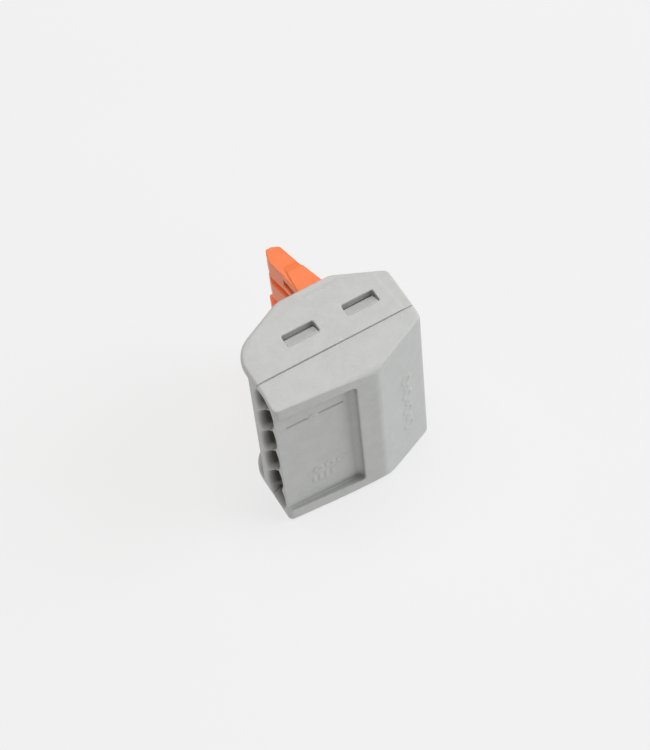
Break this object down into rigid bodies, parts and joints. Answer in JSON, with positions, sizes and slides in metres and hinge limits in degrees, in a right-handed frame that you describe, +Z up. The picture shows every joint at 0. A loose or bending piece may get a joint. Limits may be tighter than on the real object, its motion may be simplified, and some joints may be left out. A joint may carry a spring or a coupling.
{
  "type": "lever wire connector",
  "caption": "Splicing connector for electrical wires: snapped grey shells with round wire entries in a row and orange clamp levers standing open.",
  "frame": {"origin": "on the lower end wall's outer face, midway between its two latch windows; the part stands on that wall", "axes": "+X from the wire entries to the rear, +Y from the base shell towards the levers, +Z up along the row of poles"},
  "size_m": [0.0205, 0.022, 0.025],
  "materials": {
    "housing": "fine moulded polyamide, light grey",
    "base": "fine moulded polyamide, light grey",
    "lever": "semi-gloss moulded plastic, orange",
    "spring_steel": "cold-rolled stainless strip",
    "tinned_bar": "matt tin plate on copper"
  },
  "bodies": {
    "root": {"upper_housing": "housing", "lower_housing": "base", "current_bar": "tinned_bar"},
    "lever_1": {"lever_1": "lever"},
    "lever_2": {"lever_2": "lever"},
    "lever_3": {"lever_3": "lever"},
    "lever_4": {"lever_4": "lever"},
    "lever_5": {"lever_5": "lever"},
    "clamp_1": {"clamp_spring_1": "spring_steel"},
    "clamp_2": {"clamp_spring_2": "spring_steel"},
    "clamp_3": {"clamp_spring_3": "spring_steel"},
    "clamp_4": {"clamp_spring_4": "spring_steel"},
    "clamp_5": {"clamp_spring_5": "spring_steel"}
  },
  "joints": [
    {"name": "lever_1_hinge", "type": "hinge", "parent": "root", "child": "lever_1", "pos_m": [0.00064, 0.00375, 0.0035], "axis": [0, 0, 1], "range_deg": [0, 90]},
    {"name": "clamp_1_flex", "type": "hinge", "parent": "root", "child": "clamp_1", "pos_m": [0.00163, -0.00095, 0.0035], "axis": [0, 0, 1], "range_deg": [-18, 0]},
    {"name": "lever_2_hinge", "type": "hinge", "parent": "root", "child": "lever_2", "pos_m": [0.00064, 0.00375, 0.008], "axis": [0, 0, 1], "range_deg": [0, 90]},
    {"name": "clamp_2_flex", "type": "hinge", "parent": "root", "child": "clamp_2", "pos_m": [0.00163, -0.00095, 0.008], "axis": [0, 0, 1], "range_deg": [-18, 0]},
    {"name": "lever_3_hinge", "type": "hinge", "parent": "root", "child": "lever_3", "pos_m": [0.00064, 0.00375, 0.0125], "axis": [0, 0, 1], "range_deg": [-2, 88]},
    {"name": "clamp_3_flex", "type": "hinge", "parent": "root", "child": "clamp_3", "pos_m": [0.00163, -0.00095, 0.0125], "axis": [0, 0, 1], "range_deg": [-17.6, 0.4]},
    {"name": "lever_4_hinge", "type": "hinge", "parent": "root", "child": "lever_4", "pos_m": [0.00064, 0.00375, 0.017], "axis": [0, 0, 1], "range_deg": [0, 90]},
    {"name": "clamp_4_flex", "type": "hinge", "parent": "root", "child": "clamp_4", "pos_m": [0.00163, -0.00095, 0.017], "axis": [0, 0, 1], "range_deg": [-18, 0]},
    {"name": "lever_5_hinge", "type": "hinge", "parent": "root", "child": "lever_5", "pos_m": [0.00064, 0.00375, 0.0215], "axis": [0, 0, 1], "range_deg": [0, 90]},
    {"name": "clamp_5_flex", "type": "hinge", "parent": "root", "child": "clamp_5", "pos_m": [0.00163, -0.00095, 0.0215], "axis": [0, 0, 1], "range_deg": [-18, 0]}
  ],
  "couplings": [
    {"joint": "clamp_1_flex", "follows": "lever_1_hinge", "ratio": -0.2},
    {"joint": "clamp_2_flex", "follows": "lever_2_hinge", "ratio": -0.2},
    {"joint": "clamp_3_flex", "follows": "lever_3_hinge", "ratio": -0.2},
    {"joint": "clamp_4_flex", "follows": "lever_4_hinge", "ratio": -0.2},
    {"joint": "clamp_5_flex", "follows": "lever_5_hinge", "ratio": -0.2}
  ]
}
